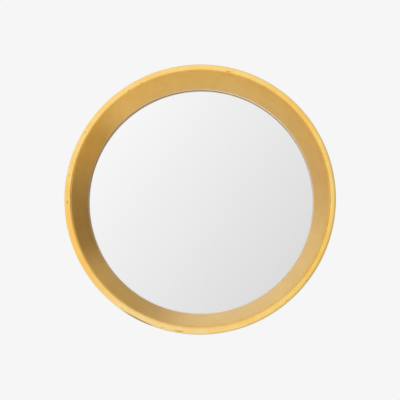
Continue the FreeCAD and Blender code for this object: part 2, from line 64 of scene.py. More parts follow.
# %% Measure the section of the ring
SEGMENTS = [name for name in nodes if name.startswith("ring_segment_")]
# Two places closer than this count as one
SAME = 0.01 * MM
# The wood is rounded at the ridge, so the corner there is counted from the widest place
RIM_FALL = 12.0 * MM


def section_points(names):
    """Every corner of some solids as a radius and a depth."""
    points = set()
    for name in names:
        for vertex in nodes[name].data.vertices:
            points.add((math.hypot(vertex.co.x, vertex.co.z), vertex.co.y))
    return points


ring = section_points(SEGMENTS)
BACK_Y = max(depth for radius, depth in ring)
SIGHT_RADIUS = min(radius for radius, depth in ring)
LIP_FRONT_Y = min(depth for radius, depth in ring if radius < SIGHT_RADIUS + SAME)
OUTER_RADIUS, WIDEST_Y = max(ring)
HEEL_RADIUS = max(radius for radius, depth in ring if depth > BACK_Y - SAME)
REBATE_RADIUS = min(radius for radius, depth in ring if depth > BACK_Y - SAME)
RIDGE_Y = WIDEST_Y - RIM_FALL
GLASS_FRONT_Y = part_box("mirror_glass")[0].y
GLASS_BACK_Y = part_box("mirror_glass")[1].y
GLASS_RADIUS = max(radius for radius, depth in section_points(["mirror_glass"]))
print(f"radii: sight {SIGHT_RADIUS / MM:.1f}, outside {OUTER_RADIUS / MM:.1f} mm")
print(f"depths: ridge {RIDGE_Y / MM:.1f}, widest {WIDEST_Y / MM:.1f}, lip {LIP_FRONT_Y / MM:.1f} mm")

# %% [markdown]
# ## The camera
#
# The photograph was taken from a little below and to the right, with a long lens. The three circles of
# the frame lie off centre by that angle, so they give the camera's place. A long lens far away keeps the
# perspective as flat as it is in the photograph.

# %% Place the camera
PHOTO_PIXELS = 400
SENSOR_MM = 36
FOCAL_PIXELS = 1363
CAMERA_AZIMUTH = math.radians(1.97)
CAMERA_ELEVATION = math.radians(-6.15)
CAMERA_DISTANCE = 2.5
RIDGE_CENTRE_PIXEL = Vector((199.45, 197.4))

away = Vector((
    math.sin(CAMERA_AZIMUTH) * math.cos(CAMERA_ELEVATION),
    -math.cos(CAMERA_AZIMUTH) * math.cos(CAMERA_ELEVATION),
    math.sin(CAMERA_ELEVATION),
))
turn = away.to_track_quat("Z", "Y")
metres_per_pixel = CAMERA_DISTANCE / FOCAL_PIXELS
off_centre = Vector((PHOTO_PIXELS / 2, PHOTO_PIXELS / 2)) - RIDGE_CENTRE_PIXEL
aim = Vector((0, RIDGE_Y, 0)) + turn @ Vector((off_centre.x, -off_centre.y, 0)) * metres_per_pixel
camera = bpy.data.objects.new("camera", bpy.data.cameras.new("camera"))
camera.data.sensor_width = SENSOR_MM
camera.data.lens = SENSOR_MM * FOCAL_PIXELS / PHOTO_PIXELS
camera.location = aim + away * CAMERA_DISTANCE
camera.rotation_euler = turn.to_euler()
bpy.context.scene.collection.objects.link(camera)
bpy.context.scene.camera = camera
bpy.context.scene.view_settings.view_transform = "Standard"
print(f"camera at {[round(value, 3) for value in camera.location]}, lens {camera.data.lens:.1f} mm")

# %% [markdown]
# ## Helpers for shader nodes
#
# Every finish below is a small tree of nodes. Adding and linking nodes by hand takes four lines each,
# so a few helpers do it: one adds a node, and the others add the kinds that come up again and again.

# %% Node helpers
def add_node(tree, kind, inputs=None, **settings):
    """Adds a shader node. Each input is a plain value, or the output of another node."""
    made = tree.nodes.new(f"ShaderNode{kind}")
    for name, value in settings.items():
        setattr(made, name, value)
    for key, value in (inputs or {}).items():
        if isinstance(value, bpy.types.NodeSocket):
            tree.links.new(value, made.inputs[key])
        else:
            made.inputs[key].default_value = value
    return made


def calculate(tree, operation, *values):
    """One step of arithmetic."""
    return add_node(tree, "Math", dict(enumerate(values)), operation=operation).outputs[0]


def spread(tree, value, from_low, from_high, to_low=0.0, to_high=1.0, kind="SMOOTHSTEP"):
    """Maps one range of a value onto another, softly unless a kind says otherwise."""
    inputs = dict(enumerate((value, from_low, from_high, to_low, to_high)))
    return add_node(tree, "MapRange", inputs, interpolation_type=kind).outputs["Result"]


def blend_colours(tree, share, first, second):
    """Mixes two colours. In the Mix node, colours are inputs 6 and 7 and output 2."""
    return add_node(tree, "Mix", {0: share, 6: first, 7: second}, data_type="RGBA").outputs[2]


def rgb(red, green, blue):
    """An opaque colour."""
    return (red, green, blue, 1.0)


print("node helpers ready")

# %% [markdown]
# ## The studio
#
# Gold and glass look like whatever is round them, so the studio matters as much as the finishes. It could
# be built of lamps and cards. It is one soft panorama in the world's nodes instead, because a panorama has
# no noise and no hard edges.
# Straight ahead hangs a white sheet, whose shaded side gives the mirror its slow change from white to grey.
# Round it is the front of the room, which the frame's inner wall reflects by way of the mirror: a cool
# window to the upper left, paler patches below, and a dim and then a dark corner to the right.
# The sides of the room are white with three warmer stretches, and the rim reflects them. Behind the
# mirror, to the right and a little down, the room is dimmer, which draws a thin darker line round the
# rim's shoulder.

# %% List the tones of the room
BACKDROP = rgb(0.9216, 0.9216, 0.9216)
SHEET_LIT = rgb(0.995, 0.995, 0.995)
SHEET_SHADED = rgb(0.575, 0.575, 0.575)
PALE_FLOOR = rgb(0.92, 0.90, 0.86)
FRONT_OF_ROOM = rgb(0.69, 0.695, 0.745)
WHITE_SIDES = rgb(0.99, 0.99, 0.99)
DIM_BEHIND = rgb(0.50, 0.48, 0.44)

# Directions from the mirror
AHEAD = Vector((0, -1, 0))
DOWN = Vector((0, 0, -1))
BEHIND = Vector((0.36, 1, -0.12))
SHEET_LIGHT = Vector((-0.79, 0.0, 0.61))

# How near to its direction each zone starts and is full: 1 is straight at it, 0 is at a right angle to it
SHEET_FADE = (-0.12, 0.19)
FLOOR_REACH = (0.03, 0.16)
SHEET_REACH = (0.88, 0.965)
FRONT_REACH = (0.42, 0.54)
BEHIND_REACH = (0.29, 0.66)

# Each part of the front of the room: its direction, its reach in the same measure, and its colour
FRONT_PARTS = [
    (Vector((-0.03, -0.62, -0.73)), (0.72, 0.97), rgb(0.76, 0.79, 0.82)),
    (Vector((-0.46, -0.62, 0.72)), (0.74, 0.97), rgb(0.92, 1.01, 1.17)),
    (Vector((0.48, -0.63, -0.61)), (0.955, 0.99), rgb(0.84, 0.85, 0.90)),
    (Vector((0.57, -0.60, 0.60)), (0.84, 0.97), rgb(0.46, 0.47, 0.43)),
    (Vector((0.73, -0.62, -0.26)), (0.95, 0.985), rgb(0.28, 0.18, 0.0)),
    (Vector((0.79, -0.62, 0.19)), (0.92, 0.98), rgb(0.04, 0.01, 0.0)),
]
# The warmer stretches of the sides, in the same form
SIDE_PARTS = [
    (Vector((-0.966, 0.0, -0.26)), (0.82, 0.985), rgb(1.0, 0.84, 0.58)),
    (Vector((0.94, 0.0, -0.34)), (0.88, 0.985), rgb(0.98, 0.93, 0.70)),
    (Vector((0.67, 0.0, 0.74)), (0.95, 0.99), rgb(0.98, 0.85, 0.50)),
]
print("the front of the room has", len(FRONT_PARTS), "parts and the sides have", len(SIDE_PARTS))

# %% Paint the panorama
world = bpy.data.worlds.new("studio")
bpy.context.scene.world = world
world.use_nodes = True
studio = world.node_tree
looking = add_node(studio, "TexCoord").outputs["Generated"]


def paint_zone(colour, towards, reach, tone, kind="SMOOTHSTEP"):
    """Lays a zone of another tone over a colour, round a direction."""
    inputs = {0: looking, 1: towards.normalized()}
    nearness = add_node(studio, "VectorMath", inputs, operation="DOT_PRODUCT").outputs["Value"]
    return blend_colours(studio, spread(studio, nearness, *reach, kind=kind), colour, tone)


def paint_parts(colour, parts):
    """Lays several zones over a colour, one after another."""
    for towards, reach, tone in parts:
        colour = paint_zone(colour, towards, reach, tone)
    return colour


sheet = paint_zone(SHEET_SHADED, SHEET_LIGHT, SHEET_FADE, SHEET_LIT, "LINEAR")
sheet = paint_zone(sheet, DOWN, FLOOR_REACH, PALE_FLOOR)


def whole_room(front, sides):
    """The panorama with a given front and given sides, round the sheet."""
    room = paint_zone(front, AHEAD, SHEET_REACH, sheet)
    room = paint_zone(sides, AHEAD, FRONT_REACH, room)
    return paint_zone(room, BEHIND, BEHIND_REACH, DIM_BEHIND)


gold_room = whole_room(paint_parts(FRONT_OF_ROOM, FRONT_PARTS), paint_parts(WHITE_SIDES, SIDE_PARTS))
plain_room = whole_room(FRONT_OF_ROOM, WHITE_SIDES)
print("panorama painted with", len(studio.nodes), "nodes")

# %% [markdown]
# ## Who sees which room
#
# The parts of the room are there for the gold. Someone who looks into the mirror at a slant would see a
# single one of them fill the whole glass, so the mirror itself shows the room without them. The Light Path
# node tells such a line of sight apart: it has gone through glass, and has been reflected only once. The
# camera, where it looks past the frame, sees an even pale backdrop.

# %% Choose the room for each line of sight
# The depths are counts, so a limit half way between two of them tells those two apart
BETWEEN_NONE_AND_ONE = 0.5
BETWEEN_ONE_AND_TWO = 1.5
rays = add_node(studio, "LightPath").outputs
through_glass = calculate(studio, "GREATER_THAN", rays["Transmission Depth"], BETWEEN_NONE_AND_ONE)
reflected_once = calculate(studio, "LESS_THAN", rays["Glossy Depth"], BETWEEN_ONE_AND_TWO)
in_mirror = calculate(studio, "MULTIPLY", through_glass, reflected_once)
room = blend_colours(studio, in_mirror, gold_room, plain_room)
seen = blend_colours(studio, rays["Is Camera Ray"], room, BACKDROP)
studio.links.new(seen, studio.nodes["Background"].inputs["Color"])
print("studio ready")

# %% [markdown]
# ## Helpers for pieces and finishes
#
# A new piece is worked on as a bmesh, and becomes an object when its shape is done. A finish starts from a
# new material, whose shader is there already. Most finishes need a cloudy pattern and a fine relief, and
# each of these is one node with a few inputs, so they get helpers too.

# %% Piece and finish helpers
# Noise keeps to the middle of its range, so these are its useful ends
NOISE_ENDS = (0.3, 0.7)


def link_piece(name, bm, material):
    """Turns a finished bmesh into an object of its own."""
    mesh = bpy.data.meshes.new(name)
    bm.to_mesh(mesh)
    bm.free()
    mesh.materials.append(material)
    piece = bpy.data.objects.new(name, mesh)
    bpy.context.scene.collection.objects.link(piece)
    return piece


def new_material(name):
    """A material with an empty finish: its tree, its shader and its Object coordinates."""
    material = bpy.data.materials.new(name)
    material.use_nodes = True
    tree = material.node_tree
    place = add_node(tree, "TexCoord").outputs["Object"]
    return material, tree, tree.nodes["Principled BSDF"], place


def noise_at(tree, place, scale, detail, **more):
    """A cloudy pattern between 0 and 1."""
    inputs = {"Vector": place, "Scale": scale, "Detail": detail, **more}
    return add_node(tree, "TexNoise", inputs).outputs["Fac"]


def distance_from_axis(tree, place, across):
    """How far a place is from an axis, given the two directions across it."""
    flat = add_node(tree, "VectorMath", {0: place, 1: across}, operation="MULTIPLY").outputs[0]
    return add_node(tree, "VectorMath", {0: flat}, operation="LENGTH").outputs["Value"]


def add_relief(tree, shader, height, strength, depth):
    """Raises a pattern a little out of the surface."""
    bump = add_node(tree, "Bump", {"Height": height, "Strength": strength, "Distance": depth})
    tree.links.new(bump.outputs["Normal"], shader.inputs["Normal"])


print("piece and finish helpers ready")

# %% [markdown]
# ## The floor and the lamp
#
# The floor is a pale round sheet well below the mirror, as if the mirror hung on a wall. It lights the frame
# from below and takes its shadow. Its edge fades out, so that no hard horizon shows from other sides, and
# metal and glass show the pale panorama in its place. One large soft lamp stands behind the mirror, above
# and to the left, and lights the fittings there. It isn't reflected, because a bright square would stand out
# in the metal.

# %% Lay the floor and hang the lamp
FLOOR_DROP = 1.7
FLOOR_RADIUS = 2.8
FLOOR_SIDES = 96
FLOOR_DEEP = rgb(0.86, 0.86, 0.86)
FLOOR_LIGHT = rgb(0.90, 0.90, 0.90)
FLOOR_ROUGHNESS = 0.9
# Where the floor starts to fade and is gone, as shares of its radius
FADE_START = 0.5
FADE_END = 0.98
LAMP_PLACE = Vector((-0.9, 1.6, 1.3))
LAMP_SIZE = 1.6
LAMP_WATTS = 16
LAMP_COLOUR = (0.95, 0.98, 1.0)


def floor_finish():
    """Pale paper that fades out towards its edge."""
    material, tree, shader, place = new_material("pale_floor")
    cloud = noise_at(tree, place, scale=3.0, detail=2.0)
    tree.links.new(blend_colours(tree, cloud, FLOOR_DEEP, FLOOR_LIGHT), shader.inputs["Base Color"])
    shader.inputs["Roughness"].default_value = FLOOR_ROUGHNESS
    reach = distance_from_axis(tree, place, (1, 1, 0))
    left = spread(tree, reach, FLOOR_RADIUS * FADE_START, FLOOR_RADIUS * FADE_END, 1.0, 0.0)
    tree.links.new(left, shader.inputs["Alpha"])
    return material


bm = bmesh.new()
bmesh.ops.create_circle(bm, cap_ends=True, radius=FLOOR_RADIUS, segments=FLOOR_SIDES)
bmesh.ops.translate(bm, verts=bm.verts, vec=(0, 0, -FLOOR_DROP))
floor = link_piece("floor", bm, floor_finish())
floor.visible_glossy = False
floor.visible_transmission = False

lamp = bpy.data.objects.new("window_lamp", bpy.data.lights.new("window_lamp", "AREA"))
lamp.data.size = LAMP_SIZE
lamp.data.energy = LAMP_WATTS
lamp.data.color = LAMP_COLOUR
lamp.location = LAMP_PLACE
lamp.visible_glossy = False
lamp.rotation_euler = LAMP_PLACE.to_track_quat("Z", "Y").to_euler()
bpy.context.scene.collection.objects.link(lamp)
print("floor laid", FLOOR_DROP, "m below, lamp of", LAMP_WATTS, "W hung")

# %% [markdown]
# ## Gold leaf
#
# The real frame is coated with gesso and then with leaf: thin squares of gold, laid one after another
# round the ring, each over the edge of the last. The rim is burnished, so it is bright, and the inner
# wall is left satin. A flat metal colour would look like plastic, so the finish has cloudy tone, a small
# change of tone from leaf to leaf and a fine line at each lap.
# An old frame also wears, and some light and shade is painted into the colour as well. Three attributes that
# are painted on the meshes below say where. Wear is leaf that has chipped off, down to an ochre ground. The
# second is pale gesso that shows through the leaf: at the lip, where dusting has made the leaf thin; as a
# trace towards the bottom left of the rim; and as a painted highlight on the lip towards the upper right. The
# third is painted shade, which darkens either of them.

# %% Lay the leaf
LEAF_COUNT = 18
# Shares of a leaf: how far its edge wanders, and how wide the line at a lap is
LEAF_WANDER = 0.05
LAP_WIDTH = 0.012
LEAF_CLOUD_ENDS = (0.34, 0.66)


def laid_leaf(tree, place, light, deep, laps):
    """The colour of leaf between two tones, with a change of a given strength at each lap."""
    cloud = noise_at(tree, place, scale=38.0, detail=3.0, Roughness=0.6)
    tone = blend_colours(tree, spread(tree, cloud, *LEAF_CLOUD_ENDS), deep, light)
    axes = add_node(tree, "SeparateXYZ", {0: place})
    angle = calculate(tree, "ARCTAN2", axes.outputs["Z"], axes.outputs["X"])
    leaf = calculate(tree, "MULTIPLY_ADD", angle, LEAF_COUNT / math.tau, LEAF_COUNT)
    leaf = calculate(tree, "MULTIPLY_ADD", cloud, LEAF_WANDER, leaf)
    number = calculate(tree, "FLOOR", leaf)
    each = add_node(tree, "TexWhiteNoise", {"W": number}, noise_dimensions="1D").outputs["Value"]
    leaf_tone = spread(tree, each, 0.0, 1.0, 1.0 - laps, 1.0, "LINEAR")
    to_lap = calculate(tree, "PINGPONG", leaf, 0.5)
    lap_tone = spread(tree, to_lap, 0.0, LAP_WIDTH, 1.0 - 2 * laps, 1.0)
    shade = calculate(tree, "MULTIPLY", leaf_tone, lap_tone)
    return add_node(tree, "VectorMath", {0: tone, 1: shade}, operation="MULTIPLY").outputs[0]


print("leaf laid in", LEAF_COUNT, "pieces round the ring")

# %% Wear the leaf and make the two golds
BARE_GROUND = rgb(0.57, 0.31, 0.03)
# The darker bare ground, and the darker gesso below, are painted shade
PAINTED_SHADE_GROUND = rgb(0.30, 0.20, 0.085)
PALE_GESSO = rgb(1.0, 0.95, 0.85)
PAINTED_SHADE_GESSO = rgb(0.52, 0.43, 0.34)
# A chip's outline is ragged: flakes of leaf hold on or come off, from this much noise and this base
FLAKE_NOISE = 1.2
FLAKE_BASE = 0.4
FLAKE_ENDS = (0.62, 0.78)
# How much metal is lost where the leaf is rubbed and where it is gone, and how much duller bare ground is
RUBBED_LOSS = 0.3
BARE_LOSS = 0.7
BARE_DULLING = 0.4
GRAIN_CHANGE = 0.1


def painted(tree, attribute):
    """A value that is painted on the mesh."""
    return add_node(tree, "Attribute", attribute_name=attribute).outputs["Fac"]


def leaf_finish(name, light, deep, roughness, laps, coat):
    """Worn gold leaf, under a thin coat of varnish, with painted highlight and painted shade where the mesh
    says.
    """
    material, tree, shader, place = new_material(name)
    grain = noise_at(tree, place, scale=850.0, detail=3.0)
    flakes = noise_at(tree, place, scale=1300.0, detail=2.0)
    flakes = calculate(tree, "MULTIPLY_ADD", flakes, FLAKE_NOISE, FLAKE_BASE)
    bare = spread(tree, calculate(tree, "MULTIPLY", flakes, painted(tree, "wear")), *FLAKE_ENDS)
    gesso_and_highlight = painted(tree, "gesso_and_highlight")
    painted_shade = painted(tree, "painted_shade")
    # Painted shade: the darker gesso and the darker bare ground are shade painted into the colour
    gesso = blend_colours(tree, painted_shade, PALE_GESSO, PAINTED_SHADE_GESSO)
    # The share of pale gesso also carries a painted highlight
    leaf_with_gesso = blend_colours(tree, gesso_and_highlight, laid_leaf(tree, place, light, deep, laps), gesso)
    ground = blend_colours(tree, painted_shade, BARE_GROUND, PAINTED_SHADE_GROUND)
    tree.links.new(blend_colours(tree, bare, leaf_with_gesso, ground), shader.inputs["Base Color"])
    metal = calculate(tree, "MULTIPLY_ADD", gesso_and_highlight, -RUBBED_LOSS, 1.0)
    metal = calculate(tree, "MULTIPLY_ADD", bare, -BARE_LOSS, metal)
    tree.links.new(metal, shader.inputs["Metallic"])
    smoothest = roughness * (1 - GRAIN_CHANGE)
    roughest = roughness * (1 + GRAIN_CHANGE)
    satin = spread(tree, grain, *NOISE_ENDS, smoothest, roughest)
    dulled = calculate(tree, "MULTIPLY_ADD", bare, BARE_DULLING, satin)
    tree.links.new(dulled, shader.inputs["Roughness"])
    add_relief(tree, shader, grain, strength=0.012, depth=0.2 * MM)
    shader.inputs["Coat Weight"].default_value = coat
    shader.inputs["Coat Roughness"].default_value = roughness
    return material


burnished_leaf = leaf_finish(
    "burnished_leaf", light=rgb(1.0, 0.70, 0.225), deep=rgb(0.99, 0.645, 0.17),
    roughness=0.27, laps=0.02, coat=0.2,
)
satin_leaf = leaf_finish(
    "satin_leaf", light=rgb(0.96, 0.56, 0.112), deep=rgb(0.92, 0.52, 0.098),
    roughness=0.32, laps=0.012, coat=0.45,
)
print("made", burnished_leaf.name, "and", satin_leaf.name)

# %% [markdown]
# ## Turning a coat round the axis
#
# The coat of gesso and leaf could be a copy of the wood, pushed out a little. The wood is in eight pieces
# with joints, though, and the coat is whole. So it is turned like the wood was: the outer line of the coat
# is drawn once, a bmesh spin carries it round the axis, and solidify gives it its thickness.

# %% Helpers for turned pieces
SPIN_STEPS = 720
COAT = 0.4 * MM


def draw_line(bm, points):
    """Draws a chain of edges through a list of radius and depth pairs, and returns its end."""
    verts = [bm.verts.new((radius, depth, 0)) for radius, depth in points]
    for first, second in zip(verts, verts[1:]):
        bm.edges.new((first, second))
    return verts[-1]


def draw_on(bm, end, point):
    """Draws a line straight on to a point, and returns the new end."""
    made = bm.verts.new((point.x, point.y, 0))
    bm.edges.new((end, made))
    return made


def draw_rows(bm, end, point, rows):
    """Draws a line on to a point in even steps, and returns the new end."""
    start = end.co.xy
    for row in range(rows):
        end = draw_on(bm, end, start.lerp(point, (row + 1) / rows))
    return end


def draw_arc(bm, end, centre, angle, steps):
    """Carries the end of a line round a centre, and returns the new end."""
    made = bmesh.ops.spin(
        bm, geom=[end], cent=(centre.x, centre.y, 0), axis=(0, 0, 1), angle=angle, steps=steps,
    )
    return next(item for item in made["geom_last"] if isinstance(item, bmesh.types.BMVert))


def spin_round(bm):
    """Spins the drawn line once round the ring's axis into a smooth surface."""
    bmesh.ops.spin(
        bm, geom=bm.verts[:] + bm.edges[:], cent=(0, 0, 0), axis=(0, 1, 0),
        angle=math.tau, steps=SPIN_STEPS, use_merge=True,
    )
    bmesh.ops.remove_doubles(bm, verts=bm.verts, dist=SAME)
    bmesh.ops.recalc_face_normals(bm, faces=bm.faces)
    for face in bm.faces:
        face.smooth = True


def in_section(point):
    """A point of the turned ring as a radius and a depth."""
    return Vector((math.hypot(point.x, point.z), point.y))


def coat_the_wood(bm):
    """Faces an open sheet away from the wood, and gives it the coat's thickness on the wood's side."""
    core = Vector(((SIGHT_RADIUS + OUTER_RADIUS) / 2, (RIDGE_Y + BACK_Y) / 2))
    outwards = 0
    for face in bm.faces:
        middle = face.calc_center_median()
        tip = in_section(middle + face.normal * MM)
        outwards += (tip - in_section(middle)).dot(in_section(middle) - core)
    if outwards < 0:
        bmesh.ops.reverse_faces(bm, faces=bm.faces)
    bmesh.ops.solidify(bm, geom=bm.faces[:], thickness=COAT)


print("turning helpers ready")

# %% [markdown]
# ## The line of the coat
#
# In section the wood is a straight lip, a straight cone up to the ridge, a gently curved bevel for the rim,
# a rounded shoulder, a straight taper behind it and a rounded heel. The coat follows that line at one
# distance, so every arc keeps its centre and only its radius grows. Only the ridge is sharper than the
# wood's: gilders cut the gesso to a crisp crest there. Each centre is where two circles, or a line and a
# circle, cross, and mathutils finds those points.

# %% Work out the arcs of the section
RIM_WIDTH = 11.5 * MM
RIM_CURVE = 35.0 * MM
CREST_ROUND = 0.45 * MM
SHOULDER_ROUND = 4.0 * MM
HEEL_ROUND = 2.0 * MM


def direction(angle):
    """The direction at an angle in the section."""
    return Vector((math.cos(angle), math.sin(angle)))


def facing(offset):
    """The angle of a direction in the section."""
    return math.atan2(offset.y, offset.x)


lip_corner = Vector((SIGHT_RADIUS, LIP_FRONT_Y))
ridge_corner = Vector((OUTER_RADIUS - RIM_WIDTH, RIDGE_Y))
up_wall = (ridge_corner - lip_corner).normalized()
off_wall = Vector((up_wall.y, -up_wall.x))
shoulder_centre = Vector((OUTER_RADIUS - SHOULDER_ROUND, WIDEST_Y))
heel_centre = Vector((HEEL_RADIUS, BACK_Y - HEEL_ROUND))
rim_centres = geometry.intersect_sphere_sphere_2d(
    shoulder_centre, RIM_CURVE - SHOULDER_ROUND, ridge_corner, RIM_CURVE,
)
rim_centre = min(rim_centres, key=lambda centre: centre.x)
crest_depth = CREST_ROUND - COAT
inside_wall = [corner - off_wall * crest_depth for corner in (lip_corner, ridge_corner)]
crest_centres = geometry.intersect_line_sphere_2d(*inside_wall, rim_centre, RIM_CURVE - crest_depth, False)
crest_centre = min(crest_centres, key=lambda centre: centre.y)
wall_turn = facing(off_wall)
ridge_turn = facing(crest_centre - rim_centre)
shoulder_turn = facing(shoulder_centre - rim_centre)
taper = heel_centre - shoulder_centre
taper_turn = facing(taper) - math.acos((SHOULDER_ROUND - HEEL_ROUND) / taper.length)
turns = [round(math.degrees(angle), 1) for angle in (wall_turn, ridge_turn, shoulder_turn, taper_turn)]
print("the section faces", turns, "degrees at the wall, the ridge, the shoulder and the taper")

# %% [markdown]
# ## The satin wall
#
# The coat of the inner wall starts on the edge of the lip, goes round a fine bead, where the gesso gathers,
# and runs up the cone to the ridge. The edge of the lip is gilded almost down to the glass. The rest of it is
# left black, and so is the rebate, because a pale edge would show again in the mirror. The line is drawn
# from the lip up: the bead is an arc, two short rows above it leave room for a soft change, and even rows on
# the cone give the mesh even faces there.

# %% Draw the line of the wall's coat
LIP_GILDING = 5.8 * MM
BEAD_ROUND = 1.0 * MM
BEAD_OFFSET = Vector((0.15, 0.4)) * MM
BEAD_STEPS = 9
RUBBED_REACH = 2.5 * MM
WALL_ROWS = 12

bead_centre = lip_corner + BEAD_OFFSET
wall_end = crest_centre + off_wall * CREST_ROUND
coat_line = [wall_end - up_wall * (wall_end - lip_corner).length, wall_end]
creases = geometry.intersect_line_sphere_2d(*coat_line, bead_centre, BEAD_ROUND, False)
crease = min((place for place in creases if place), key=lambda place: place.y)
edge_radius = SIGHT_RADIUS - COAT
edge_line = [Vector((edge_radius, LIP_FRONT_Y + LIP_GILDING)), Vector((edge_radius, LIP_FRONT_Y))]
roots = geometry.intersect_line_sphere_2d(*edge_line, bead_centre, BEAD_ROUND, False)
root = max((place for place in roots if place), key=lambda place: place.y)
bead_turn = (facing(crease - bead_centre) - facing(root - bead_centre)) % math.tau

bm = bmesh.new()
end = draw_line(bm, [edge_line[0], root + Vector((0, BEAD_ROUND)), root])
end = draw_arc(bm, end, bead_centre, bead_turn, BEAD_STEPS)
half_rubbed = end.co.xy + up_wall * RUBBED_REACH / 2
end = draw_on(bm, end, half_rubbed)
end = draw_on(bm, end, half_rubbed + up_wall * RUBBED_REACH / 2)
draw_rows(bm, end, wall_end, WALL_ROWS)
print("line of the wall:", len(bm.verts), "points, the bead turns", round(math.degrees(bead_turn)), "degrees")

# %% [markdown]
# ## Rubbing the lip, and its painted highlight and shade
#
# Dusting has rubbed the bead, where the cloth catches, and the gold above it has kept only a trace of that.
# Half way between them the gold is half rubbed. Towards the upper right it is paler still, which is a painted
# highlight. The left side of the lip is darker, which is painted shade. Each point of the turned sheet gets
# these values by its depth and by the side that it is on.

# %% Turn the coat of the wall, rub its lip and paint its highlight and shade
DUSTED = 0.06
HALF_WAY_RUBBED = 0.5
# Painted highlight: the row half way up gets paler towards this side, the upper right, falling off with this
# power
PAINTED_HIGHLIGHT_SIDE = Vector((0.74, 0.67))
PAINTED_HIGHLIGHT_FALL = 6
# Painted shade: the pale gesso of the lip gets darker towards this side, the left
PAINTED_SHADE_SIDE = Vector((-0.97, 0.26))


def towards_side(vert, side):
    """How far round the ring a point lies towards a side, from 0 to 1."""
    return max(0.0, vert.co.xz.normalized().dot(side))


spin_round(bm)
gesso_and_highlight = bm.verts.layers.float.new("gesso_and_highlight")
painted_shade = bm.verts.layers.float.new("painted_shade")
for vert in bm.verts:
    if vert.co.y < crease.y - SAME:
        vert[gesso_and_highlight] = DUSTED * (vert.co.y - wall_end.y) / (crease.y - wall_end.y)
    elif vert.co.y < root.y + SAME:
        vert[gesso_and_highlight] = 1.0
    if abs(vert.co.y - half_rubbed.y) < SAME:
        # Painted highlight: more pale gesso towards the upper right
        painted_highlight = towards_side(vert, PAINTED_HIGHLIGHT_SIDE) ** PAINTED_HIGHLIGHT_FALL
        vert[gesso_and_highlight] = HALF_WAY_RUBBED + (1 - HALF_WAY_RUBBED) * painted_highlight
    # Painted shade, darkest on the left side of the lip
    vert[painted_shade] = towards_side(vert, PAINTED_SHADE_SIDE)
coat_the_wood(bm)
wall_coat = link_piece("wall_gilding", bm, satin_leaf)
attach(wall_coat, "frame")
print("wall coat:", len(wall_coat.data.polygons), "faces")

# %% [markdown]
# ## The burnished rim
#
# The rim's coat goes over the rounding at the ridge, across the bevel, round the shoulder and down the
# taper. It ends on the heel, just short of the back: a lap on the back would stand in the way of the turn
# buttons. Each arc is made by spinning the end of the line about its own centre.

# %% Turn the coat of the rim
CREST_STEPS = 5
RIM_STEPS = 10
SHOULDER_STEPS = 8
HEEL_STEPS = 5
TAPER_ROWS = 4
SHORT_OF_BACK = 0.1 * MM

bm = bmesh.new()
end = draw_line(bm, [wall_end])
end = draw_arc(bm, end, crest_centre, ridge_turn - wall_turn, CREST_STEPS)
end = draw_arc(bm, end, rim_centre, shoulder_turn - ridge_turn, RIM_STEPS)
end = draw_arc(bm, end, shoulder_centre, taper_turn - shoulder_turn, SHOULDER_STEPS)
taper_end = heel_centre + direction(taper_turn) * (HEEL_ROUND + COAT)
end = draw_rows(bm, end, taper_end, TAPER_ROWS)
heel_turn = math.asin((HEEL_ROUND - SHORT_OF_BACK) / (HEEL_ROUND + COAT))
draw_arc(bm, end, heel_centre, heel_turn - taper_turn, HEEL_STEPS)
spin_round(bm)
print("rim sheet:", len(bm.faces), "faces before the chips")

# %% [markdown]
# ## Chips in the leaf
#
# The rim of an old frame is knocked now and then, and the leaf chips off. A chip could be a dark spot in the
# material alone, but then it would have no depth from the side. So the faces round each chip are subdivided,
# the points in it are sunk, and how much leaf is gone is kept on the mesh as the attribute wear. The chips
# are listed, each with its place and size, and a search tree finds the points near each one.

# %% List the chips and find their points
CHIP_MARGIN = 2.5 * MM
# Each chip: angle round the ring in degrees, share of the way from the ridge to the shoulder, half its length
# and half its width in mm, and how much painted shade darkens it
CHIPS = [
    (181.7, 0.42, 2.6, 2.0, 0.0),
    (170.0, 0.46, 1.7, 1.3, 0.0),
    (150.0, 0.40, 1.6, 1.4, 0.0),
    (123.3, 0.00, 2.6, 1.2, 0.0),
    (116.7, 0.02, 2.0, 1.2, 0.0),
    (77.2, 0.12, 4.5, 1.0, 0.0),
    (254.0, 0.78, 1.6, 1.2, 0.0),
    (261.2, 0.74, 9.5, 1.3, 0.0),
    (235.0, 0.70, 1.6, 1.3, 0.0),
    # The long strip at the lower left lies along the rim's outer edge, and its dark ground there is painted
    # shade
    (243.2, 0.98, 33.0, 2.1, 1.0),
    (310.0, 0.68, 1.6, 1.2, 0.0),
    (322.0, 0.74, 2.2, 1.0, 0.0),
]


def chip_directions(degrees, share):
    """The middle of a chip on the coat, and the directions along the ring and across the rim there."""
    angle = math.radians(degrees)
    turn_there = ridge_turn + (shoulder_turn - ridge_turn) * share
    spot = rim_centre + direction(turn_there) * (RIM_CURVE + COAT)
    outwards = Vector((math.cos(angle), 0, math.sin(angle)))
    along = Vector((-math.sin(angle), 0, math.cos(angle)))
    across = -math.sin(turn_there) * outwards + math.cos(turn_there) * Vector((0, 1, 0))
    return outwards * spot.x + Vector((0, spot.y, 0)), along, across


def plant_search_tree(bm):
    """A search tree over all the points of a mesh."""
    planted = kdtree.KDTree(len(bm.verts))
    for index, vert in enumerate(bm.verts):
        planted.insert(vert.co, index)
    planted.balance()
    return planted


